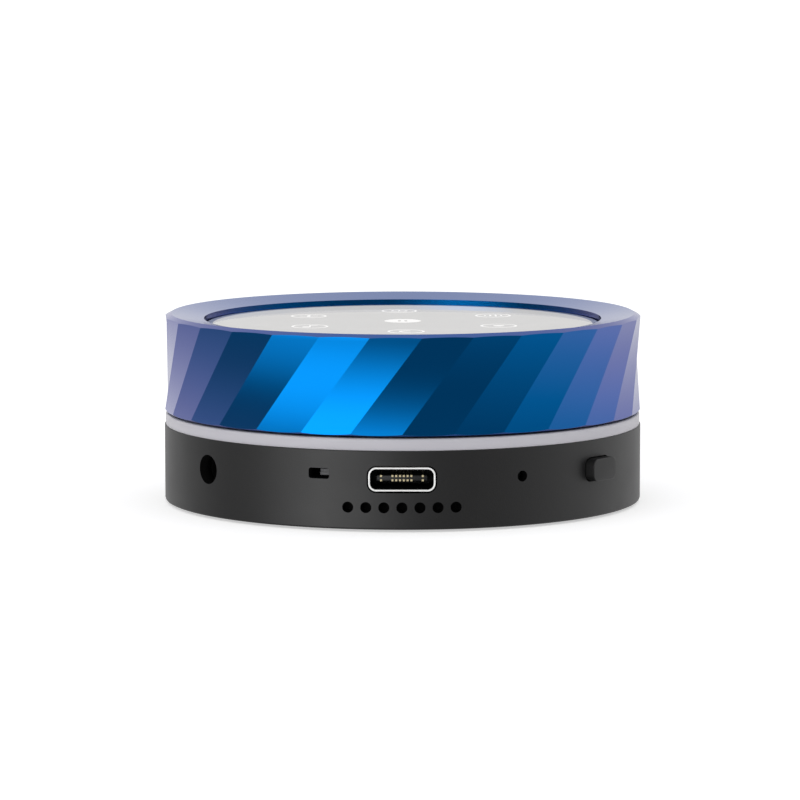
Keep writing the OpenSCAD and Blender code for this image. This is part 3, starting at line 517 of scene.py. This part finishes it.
baseSettings = {
    "radius": 33 * mm, "wall": 1.8 * mm, "edge": 0.3 * mm, "lip": 0.12 * mm, "seat": 31.9 * mm, "seatTop": 1.5 * mm,
    "holeEdge": 0.04 * mm, "holesFrom": 1.9 * mm, "holesTo": 9.6 * mm,
    "jack": (-52.3, 6.7 * mm, 1.98 * mm),
    "mic": (28.9, 6.97 * mm, 0.73 * mm),
    "speaker": {"count": 7, "pitch": 2.38 * mm, "radius": 0.73 * mm, "height": 3.27 * mm},
    "usb": {"width": 9.28 * mm, "height": 3.6 * mm, "corner": 1.27 * mm},
    "slot": {"azimuth": -19.4, "width": 2.9 * mm, "height": 1.42 * mm, "corner": 0.35 * mm, "z": 7.64 * mm},
    "button": {"azimuth": 52.8, "width": 5.5 * mm, "height": 3.3 * mm, "corner": 1.1 * mm, "z": 6.85 * mm},
}


def roundNormals(shell, radius):  # gives the pierced outer wall the normals of an unpierced one
    bpy.ops.object.select_all(action="DESELECT")
    bpy.ops.mesh.primitive_cylinder_add(vertices=720, radius=radius, depth=0.06, end_fill_type="NOTHING")
    smooth = named("smoothWall")
    bpy.ops.object.shade_smooth()
    alone(shell)
    wall = shell.vertex_groups.new(name="wall")
    wall.add([v.index for v in shell.data.vertices if abs(v.co.xy.length - radius) < 0.00001], 1, "ADD")
    applyModifier(shell, "DATA_TRANSFER", object=smooth, use_loop_data=True, data_types_loops={"CUSTOM_NORMAL"},
                  loop_mapping="POLYINTERP_NEAREST", vertex_group="wall")
    shell.vertex_groups.clear()
    bpy.data.objects.remove(smooth)


def shadeSleeve(name, opening, azimuth, back, front, height, wall=0.05 * mm):  # painted shade: thin black sleeve inside an opening, where there is only shade
    deep = front - back
    gap = 0.01 * mm
    width, tall, corner = (opening[key] - gap for key in ("width", "height", "corner"))
    sleeve = block(name, (width, deep, tall), corner, steps=12)
    cut(sleeve, block("hollow", (width - 2 * wall, deep * 2, tall - 2 * wall), corner - wall, steps=12))
    sleeve.name = sleeve.data.name = name
    sendOut(sleeve, azimuth, (back + front) / 2, height)
    tidyMesh(sleeve)
    alone(sleeve)
    bpy.ops.object.shade_smooth_by_angle(angle=math.radians(30))
    wear(sleeve, "inner_black", finish="hole_black")


def paintOpeningShade(shell):  # painted shade: the walls of the openings get the near-black hole finish
    s = baseSettings
    shell.data.materials.append(finishOf["hole_black"])
    for face in shell.data.polygons:
        away = face.center.xy.length
        inWall = s["radius"] - s["wall"] + 0.02 * mm < away < s["radius"] - 0.06 * mm
        if inWall and s["holesFrom"] < face.center.z < s["holesTo"]:
            face.material_index = 1


def makeBase():
    s = baseSettings
    low, high, _ = nodeBox("base_shell")
    inner = s["radius"] - s["wall"]
    shell = turned("baseShell", [
        (s["seat"], low.z), (s["radius"] - s["edge"], low.z), (s["radius"] - 0.3 * s["edge"], low.z + 0.3 * s["edge"]),
        (s["radius"], low.z + s["edge"]), (s["radius"], high.z - s["lip"]), (s["radius"] - s["lip"], high.z),
        (inner, high.z), (inner, s["seatTop"]), (s["seat"], s["seatTop"])], steps=360)
    through = s["wall"] * 3
    middle = s["radius"] - s["wall"] / 2
    holes = []
    for feature in ("jack", "mic"):
        azimuth, height, radius = s[feature]
        holes.append(roundHole(radius, azimuth, middle, height, through))
    speaker = s["speaker"]
    for number in range(speaker["count"]):
        side = (number - (speaker["count"] - 1) / 2) * speaker["pitch"]
        hole = roundHole(speaker["radius"], 0, middle, speaker["height"], through * 1.5, 48)
        alone(hole)
        hole.location.x = side
        settle()
        holes.append(hole)
    usb = s["usb"]
    port = nodeBox("usb_shell")[2]
    holes.append(sendOut(block("hole", (usb["width"], through, usb["height"]), usb["corner"]), 0, middle, port.z))
    for feature in ("slot", "button"):
        f = s[feature]
        box = block("hole", (f["width"], through, f["height"]), f["corner"])
        holes.append(sendOut(box, f["azimuth"], middle, f["z"]))
    cut(shell, joined("holes", holes))
    tidyMesh(shell)
    soften(shell, s["holeEdge"], steps=2, angle=40, smooth=30)
    roundNormals(shell, s["radius"])
    wear(shell, "base_plastic", nodes=["base_shell"])
    paintOpeningShade(shell)
    print("base shell done")


ringSettings = {
    "facets": 30, "twist": 17.4, "phase": 11.8, "rows": 28, "radius": 33 * mm, "bore": 27.5 * mm,
    "bevel": 0.95 * mm, "bevelFall": 0.475 * mm, "dish": 0.75 * mm, "hub": 30.45 * mm, "shoulder": 3.7 * mm,
    "foot": 0.25 * mm, "edge": 0.09 * mm, "over": 1.0 * mm,
}


def makeKnob():
    s = ringSettings
    low, high, _ = nodeBox("knob_ring")
    bpy.ops.object.select_all(action="DESELECT")
    start = math.radians(s["phase"] - 90)
    bpy.ops.mesh.primitive_circle_add(vertices=s["facets"], radius=s["radius"], location=(0, 0, low.z),
                                      rotation=(0, 0, start - math.pi / 2))
    prism = named("facetPrism")
    settle()
    bpy.ops.object.mode_set(mode="EDIT")
    bpy.ops.mesh.select_mode(type="EDGE")
    bpy.ops.mesh.select_all(action="SELECT")
    bpy.ops.mesh.extrude_edges_move()
    bpy.ops.transform.translate(value=(0, 0, high.z - low.z))
    bpy.ops.transform.rotate(value=-math.radians(s["twist"]), orient_axis="Z", center_override=(0, 0, high.z))
    pick(prism, "edges", lambda e: abs(e.verts[0].co.z - e.verts[1].co.z) > 0.5 * (high.z - low.z))
    bpy.ops.mesh.subdivide_edgering(number_cuts=s["rows"], interpolation="LINEAR")
    pick(prism, "edges", lambda e: e.is_boundary)
    bpy.ops.mesh.edge_face_add()
    tidyMesh(prism)
    wide = s["radius"] + s["over"]
    slope = s["bevelFall"] / s["bevel"]
    ring = turned("knobRing", [
        (s["hub"], low.z), (s["radius"] - s["foot"], low.z), (wide, low.z + s["foot"] + s["over"]),
        (wide, high.z - slope * (s["bevel"] + s["over"])), (s["radius"] - s["bevel"], high.z),
        (s["bore"], high.z - s["dish"]), (s["bore"], high.z - s["shoulder"]), (s["hub"], high.z - s["shoulder"])],
        steps=360)
    cut(ring, prism, "INTERSECT")
    tidyMesh(ring)
    soften(ring, s["edge"], steps=2, angle=20, smooth=8)
    wear(ring, "ring_blue", "knob", ["knob_ring"])
    print("knob ring done")


diffuserSettings = {"radius": 32.85 * mm, "inner": 27.3 * mm, "edge": 0.28 * mm, "hub": 30.4 * mm,
                    "flange": 1.0 * mm, "rise": 0.25 * mm, "lip": 0.4 * mm, "lipDown": 0.6 * mm, "seat": 31.15 * mm}


def makeDiffuser():
    s = diffuserSettings
    low, high, _ = nodeBox("light_diffuser")
    base = nodeBox("base_shell")[1].z
    flange = base + s["rise"] + s["flange"]
    ring = turned("lightRing", [
        (s["seat"], base), (s["radius"], base), (s["radius"], high.z), (s["hub"], high.z), (s["hub"], flange),
        (s["inner"], flange), (s["inner"], base + s["rise"]), (s["seat"] - s["lip"], base + s["rise"]),
        (s["seat"] - s["lip"], low.z), (s["seat"], low.z)], steps=360)
    alone(ring)
    bpy.ops.object.mode_set(mode="EDIT")
    pick(ring, "edges", lambda e: all(abs(v.co.z - high.z) < 1e-6 and v.co.xy.length > s["radius"] - 1e-5
                                      for v in e.verts))
    bpy.ops.mesh.bevel(offset=s["edge"], segments=4, affect="EDGES")
    bpy.ops.object.mode_set(mode="OBJECT")
    soften(ring, 0.05 * mm, steps=2, angle=40, smooth=40)
    wear(ring, "diffuser_white", nodes=["light_diffuser"])
    print("light ring done")


glassSettings = {"edge": 0.22 * mm, "screenDepth": 0.06 * mm, "overlap": 0.1 * mm, "borderGap": 0.02 * mm}


def makeGlass():
    s = glassSettings
    low, high, _ = nodeBox("cover_glass")
    glueLow = nodeBox("optical_adhesive")[0].z
    screenRadius = nodeBox("display_panel")[1].x
    screenTop = high.z - s["screenDepth"]
    glass = turned("coverGlass", [(high.x - s["edge"], low.z), (high.x, low.z), (high.x, high.z), (high.x - s["edge"], high.z)],
                   steps=240, hollow=False)
    soften(glass, s["edge"], steps=3, angle=60, smooth=40)
    wear(glass, "cover_glass", nodes=["cover_glass"])
    screen = turned("screenFace", [(screenRadius - s["edge"], glueLow), (screenRadius, glueLow), (screenRadius, screenTop)],
                    steps=240, hollow=False)
    bpy.ops.object.shade_smooth_by_angle(angle=math.radians(30))
    wear(screen, "panel_light", nodes=["optical_adhesive"])
    # painted reflection: a lavender sheet around the screen stands in for the sky mirrored in the glass edge
    edgeReflection = turned("glassBorder", [
        (screenRadius + s["borderGap"], low.z + s["overlap"]), (high.x - s["overlap"], low.z + s["overlap"]),
        (high.x - s["overlap"], screenTop), (screenRadius + s["borderGap"], screenTop)], steps=240)
    bpy.ops.object.shade_smooth_by_angle(angle=math.radians(30))
    wear(edgeReflection, "cover_glass", finish="glass_border")
    print("display done")


iconSettings = {"orbit": 15 * mm, "shift": 2.6 * mm, "turn": 2.0, "radius": 2.55 * mm, "line": 0.32 * mm, "thick": 0.02 * mm,
                "stroke": 0.42 * mm, "pauseTall": 0.7, "pauseGap": 0.45 * mm}


def bar(name, width, length, thick, place=(0, 0)):  # flat rounded stroke for a glyph
    bpy.ops.object.select_all(action="DESELECT")
    bpy.ops.mesh.primitive_cube_add(size=1, scale=(width, length, thick), location=(*place, thick / 2))
    piece = named(name)
    settle()
    soften(piece, min(width, thick) * 0.3, steps=2)
    return piece


def dot(name, radius, thick, place=(0, 0), sides=48):
    bpy.ops.object.select_all(action="DESELECT")
    bpy.ops.mesh.primitive_cylinder_add(vertices=sides, radius=radius, depth=thick, location=(*place, thick / 2))
    piece = named(name)
    settle()
    soften(piece, thick * 0.3, steps=2)
    return piece


def hoop(name, radius, line, thick, place=(0, 0), part=1.0):
    piece = turned(name, [(radius - line, 0), (radius, 0), (radius, thick), (radius - line, thick)], steps=72)
    alone(piece)
    piece.location = (*place, 0)
    settle()
    if part < 1:  # keeps only the share of the hoop on its -X side
        bpy.ops.object.mode_set(mode="EDIT")
        bpy.ops.mesh.select_all(action="SELECT")
        edge = place[0] - radius + 2 * radius * part
        bpy.ops.mesh.bisect(plane_co=(edge, 0, 0), plane_no=(1, 0, 0), use_fill=True, clear_outer=True)
        tidyMesh(piece)
    bpy.ops.object.shade_smooth_by_angle(angle=math.radians(30))
    return piece


def glyph(kind, s):
    stroke, thick, unit = s["stroke"], s["thick"], s["radius"]
    if kind == "cross":
        return [bar("a", stroke, unit, thick), bar("b", unit, stroke, thick)]
    if kind == "bars":
        places = ((-0.45, 0.35), (-0.15, 0.7), (0.15, 0.95), (0.45, 0.5))
        return [bar("a", stroke * 0.7, unit * tall, thick, (unit * x, 0)) for x, tall in places]
    if kind == "note":
        return [dot("a", unit * 0.22, thick, (-unit * 0.2, -unit * 0.35)), bar("b", stroke * 0.6, unit, thick, (0, 0.05 * unit)),
                bar("c", unit * 0.4, stroke, thick, (unit * 0.2, unit * 0.48))]
    if kind == "crescent":
        return [hoop("a", unit * 0.5, stroke, thick, (unit * 0.1, 0), part=0.6)]
    if kind == "dial":
        return [hoop("a", unit * 0.48, stroke * 0.7, thick), bar("b", stroke * 0.6, unit * 0.6, thick, (0, unit * 0.25))]
    return [dot("a", unit * 0.3, thick)]


def makeIcons():
    s = iconSettings
    screenTop = nodeBox("cover_glass")[1].z - glassSettings["screenDepth"]
    kinds = ("dial", "cross", "note", "crescent", "dot", "bars")
    for number, kind in enumerate(kinds):
        angle = math.radians(60 * number + s["turn"])
        place = (-s["orbit"] * math.sin(angle), s["orbit"] * math.cos(angle) + s["shift"])
        icon = joined("icon_" + kind, [hoop("rim", s["radius"], s["line"], s["thick"])] + glyph(kind, s))
        icon.location = (*place, screenTop)
        alone(icon)
        settle()
        wear(icon, "panel_light", finish="icon_light")
    disc = dot("icon_centre", s["radius"], s["thick"])
    disc.location = (0, s["shift"], screenTop)
    alone(disc)
    settle()
    wear(disc, "panel_light", finish="icon_light")
    mark = joined("icon_centreMark", [bar("bar", s["stroke"], s["radius"] * s["pauseTall"], s["thick"], (side * s["pauseGap"], 0))
                                      for side in (-1, 1)])
    mark.location = (0, s["shift"], screenTop + s["thick"])
    alone(mark)
    settle()
    wear(mark, "panel_light")
    print("icons done")


portSettings = {"width": 8.86 * mm, "height": 3.18 * mm, "corner": 1.06 * mm, "metal": 0.23 * mm, "lip": 0.07 * mm,
                "floor": 0.3 * mm, "linerIn": 0.25 * mm}


def makePort():  # drawn steel shell with a rolled front lip
    s = portSettings
    low, high, centre = nodeBox("usb_shell")
    deep = high.y - low.y
    shell = block("portShell", (s["width"], deep, s["height"]), s["corner"], steps=10)
    inside = block("hollow", (s["width"] - 2 * s["metal"], deep, s["height"] - 2 * s["metal"]),
                   s["corner"] - s["metal"], steps=10)
    alone(inside)
    inside.location = (0, -s["floor"], 0)
    settle()
    cut(shell, inside)
    alone(shell)
    shell.location = (0, centre.y, centre.z)
    settle()
    tidyMesh(shell)
    soften(shell, s["lip"], steps=3, angle=50, smooth=40)
    # painted highlight: the port wears the whitened steel, not the plain steel finish
    wear(shell, "shield_steel", nodes=["usb_shell"], finish="port_steel")
    inner = {"width": s["width"] - 2 * s["metal"], "height": s["height"] - 2 * s["metal"], "corner": s["corner"] - s["metal"]}
    back, front = -high.y, -low.y
    # painted shade: a black sleeve inside the port
    shadeSleeve("portLiner", inner, 0, back + s["floor"], front - s["linerIn"], centre.z)
    print("port done")


sliderSettings = {"azimuth": -19.4, "width": 1.4 * mm, "height": 0.84 * mm, "rise": 0.13 * mm, "ledge": 0.38 * mm,
                  "ledgeDeep": 0.12 * mm, "edge": 0.03 * mm, "front": 32.45 * mm, "back": 29.0 * mm}


def makeSlider():  # key with a ledge for the fingernail across its lower half
    s = sliderSettings
    centre = nodeBox("slide_switch_knob")[2]
    azimuth = math.radians(s["azimuth"])
    aside = centre.x * math.cos(azimuth) + centre.y * math.sin(azimuth)
    deep = s["front"] - s["back"]
    key = block("sliderKey", (s["width"], deep, s["height"]))
    step = block("step", (s["width"] * 2, s["ledgeDeep"] * 2, s["height"]))
    alone(step)
    step.location = (0, -deep / 2, s["ledge"])
    settle()
    cut(key, step)
    alone(key)
    key.location = (aside, 0, 0)
    settle()
    sendOut(key, s["azimuth"], (s["front"] + s["back"]) / 2, centre.z + s["rise"])
    tidyMesh(key)
    soften(key, s["edge"], steps=2, angle=40)
    wear(key, "switch_grey", "switch_key", ["slide_switch_knob"])
    print("slider done")


buttonSettings = {"azimuth": 52.8, "width": 5.2 * mm, "height": 3.0 * mm, "corner": 0.95 * mm, "crown": 0.11 * mm,
                  "lap": 0.5 * mm, "flange": 0.68 * mm, "front": 34.25 * mm, "gap": 0.35 * mm}


def makeButton():  # cap with a softened face, and the flange that holds it in
    s = buttonSettings
    centre = nodeBox("power_button")[2]
    azimuth = math.radians(s["azimuth"])
    front = s["front"]
    flangeFront = baseSettings["radius"] - baseSettings["wall"] - s["gap"]
    back = flangeFront - s["flange"]
    cap = block("powerButton", (s["width"], front - back, s["height"]), s["corner"], steps=10)
    alone(cap)
    bpy.ops.object.mode_set(mode="EDIT")
    pick(cap, "edges", lambda e: all(v.co.y < -(front - back) / 2 + 1e-6 for v in e.verts))
    bpy.ops.mesh.bevel(offset=s["crown"], segments=4, affect="EDGES")
    bpy.ops.object.mode_set(mode="OBJECT")
    sendOut(cap, s["azimuth"], (front + back) / 2, centre.z)
    flange = block("flange", (s["width"] + 2 * s["lap"], s["flange"], s["height"] + 2 * s["lap"]), s["corner"] + s["lap"])
    sendOut(flange, s["azimuth"], flangeFront - s["flange"] / 2, centre.z)
    cut(cap, flange, "UNION")
    tidyMesh(cap)
    alone(cap)
    bpy.ops.object.shade_smooth_by_angle(angle=math.radians(35))
    wear(cap, "base_plastic", "button_cap", ["power_button"])
    # painted shade: the cap's sides and back take the darker copy of the base plastic
    cap.data.materials.append(finishOf["button_side"])
    for face in cap.data.polygons:
        if face.normal.x * math.sin(azimuth) - face.normal.y * math.cos(azimuth) < 0.5:
            face.material_index = 1
    print("button done")


def refine(node, name, width, finish=None, steps=2, angle=30):  # a CAD node's own shape with softened edges
    source = frame["nodes"][node]
    piece = bpy.data.objects.new(name, source.data.copy())
    bpy.context.scene.collection.objects.link(piece)
    piece.data.name = name
    alone(piece)
    bpy.ops.object.mode_set(mode="EDIT")
    bpy.ops.mesh.select_all(action="SELECT")
    bpy.ops.mesh.remove_doubles(threshold=0.000002)
    bpy.ops.mesh.dissolve_limited(angle_limit=math.radians(0.5))
    bpy.ops.mesh.normals_make_consistent(inside=False)
    bpy.ops.object.mode_set(mode="OBJECT")
    soften(piece, width, steps=steps, angle=angle)
    wear(piece, slotOf[node], bodyOf[node], [node], finish)
    return piece


finishOf = {}
setCamera()
lightRoom()
layFloor()
print("room ready")
grainGroup = makeGrain()
toneGroup = makeTone()
for slotName, finishValues in finishes.items():
    finishOf[slotName] = makeFinish(slotName, finishValues, grainGroup, toneGroup)
paintSheenOnRing(finishOf["ring_blue"])
for nodeName, nodePiece in frame["nodes"].items():
    nodePiece.data.materials.clear()
    nodePiece.data.materials.append(finishOf[slotOf[nodeName]])
print("finishes ready")
makeBase()
makeKnob()
makeDiffuser()
makeGlass()
makeIcons()
makePort()
makeSlider()
makeButton()
for nodeName, width in {"foot_ring": 0.15, "bottom_cover": 0.08, "bottom_screws": 0.05, "jack_body": 0.1,
                        "usb_tongue": 0.05, "speaker_box": 0.1, "battery_cell": 0.3, "module_shield": 0.15,
                        "audio_codec": 0.05, "power_chips": 0.05, "ribbon_socket": 0.08, "battery_plug": 0.1,
                        "display_carrier": 0.06, "rotor_hub": 0.04, "pedestal": 0.08, "slide_switch_case": 0.08,
                        "button_switch_case": 0.1, "encoder_case": 0.1, "mic_capsule": 0.08, "mic_boot": 0.08,
                        "speaker_driver": 0.08, "speaker_cone": 0.05, "wireless_module": 0.04, "light_array": 0.06,
                        "knob_screws": 0.05, "pedestal_screws": 0.05, "carrier_screws": 0.05}.items():
    words = nodeName.split("_")
    # the jack body and the slide switch case are black parts; the near-black, glossless hole finish they wear also
    # paints the shade in their openings
    finishName = "hole_black" if nodeName in ("slide_switch_case", "jack_body") else None
    refine(nodeName, words[0] + "".join(word.capitalize() for word in words[1:]), width * mm, finishName)
    print("refined", nodeName)

bpy.context.scene.view_settings.view_transform = "Standard"
bpy.context.scene.view_settings.look = "None"
